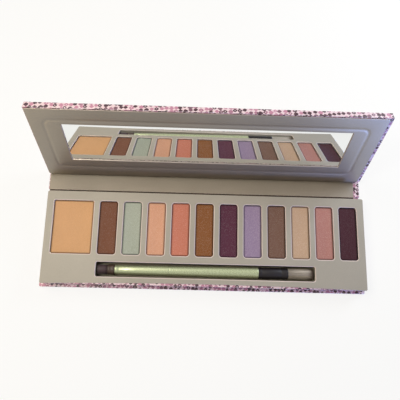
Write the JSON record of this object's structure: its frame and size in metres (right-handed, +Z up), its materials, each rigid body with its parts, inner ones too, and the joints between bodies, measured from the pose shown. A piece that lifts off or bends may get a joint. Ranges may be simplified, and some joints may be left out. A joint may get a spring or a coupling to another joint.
{
  "type": "eyeshadow palette",
  "caption": "Slim book-style board palette of pressed eyeshadows with a lay-in double-ended brush and a hinged lid that carries a long mirror.",
  "frame": {"origin": "middle of the underside of the base cover, on the table", "axes": "+X along the palette to the right of someone who faces it, +Y to its back, where the folds are, +Z up; the lid stands open at rest"},
  "size_m": [0.234, 0.1136, 0.0638],
  "materials": {
    "greyboard": "uncoated",
    "printed_paper": "printed all over with small round dots, satin varnish",
    "taupe_card": "matte coated card",
    "taupe_trough": "vacuum-formed, matte",
    "satin_card": "satin coated card",
    "mirror_glass": "polished",
    "foam_tape": "foam tape",
    "pan_metal": "bright pressed",
    "steel": "zinc plated",
    "magnet": "nickel plated",
    "dark_foam": "soft sponge",
    "dark_collar": "satin",
    "green_lacquer": "pearl lacquer",
    "black_ferrule": "gloss black coated",
    "taupe_bristles": "synthetic fibre",
    "powder_01": "pressed powder, matte",
    "powder_02": "pressed powder, matte",
    "powder_03": "pressed powder, shimmer",
    "powder_04": "pressed powder, shimmer",
    "powder_05": "pressed powder, shimmer",
    "powder_06": "pressed powder, shimmer",
    "powder_07": "pressed powder, satin",
    "powder_08": "pressed powder, shimmer",
    "powder_09": "pressed powder, matte",
    "powder_10": "pressed powder, shimmer",
    "powder_11": "pressed powder, satin",
    "powder_12": "pressed powder, matte"
  },
  "bodies": {
    "base": {"base_board": "greyboard", "base_wrap": "printed_paper", "tray_core": "greyboard", "tray_wrap": "printed_paper", "tray_plate": "taupe_card", "brush_trough": "taupe_trough", "pan_01": "pan_metal", "pan_02": "pan_metal", "pan_03": "pan_metal", "pan_04": "pan_metal", "pan_05": "pan_metal", "pan_06": "pan_metal", "pan_07": "pan_metal", "pan_08": "pan_metal", "pan_09": "pan_metal", "pan_10": "pan_metal", "pan_11": "pan_metal", "pan_12": "pan_metal", "powder_01": "powder_01", "powder_02": "powder_02", "powder_03": "powder_03", "powder_04": "powder_04", "powder_05": "powder_05", "powder_06": "powder_06", "powder_07": "powder_07", "powder_08": "powder_08", "powder_09": "powder_09", "powder_10": "powder_10", "powder_11": "powder_11", "powder_12": "powder_12", "steel_disc_left": "steel", "steel_disc_right": "steel"},
    "spine": {"spine_board": "greyboard", "spine_wrap": "printed_paper", "spine_liner": "taupe_card"},
    "lid": {"lid_board": "greyboard", "lid_wrap": "printed_paper", "lid_spacer": "greyboard", "lid_liner": "satin_card", "mirror": "mirror_glass", "mirror_tape": "foam_tape", "magnet_left": "magnet", "magnet_right": "magnet"},
    "brush": {"brush_tuft": "dark_foam", "brush_collar": "dark_collar", "brush_handle_rear": "green_lacquer", "brush_handle_front": "green_lacquer", "brush_ferrule": "black_ferrule", "brush_bristles": "taupe_bristles"}
  },
  "joints": [
    {"name": "spine_fold", "type": "hinge", "parent": "base", "child": "spine", "pos_m": [0, 0.0365, 0], "axis": [1, 0, 0], "range_deg": [0, 90]},
    {"name": "lid_fold", "type": "hinge", "parent": "spine", "child": "lid", "pos_m": [0, 0.0524, 0], "axis": [1, 0, 0], "range_deg": [-66.4, 23.6]},
    {"name": "brush_roll", "type": "hinge", "parent": "base", "child": "brush", "pos_m": [0.0015, -0.0212, 0.00615], "axis": [1, 0, 0], "continuous": true}
  ]
}
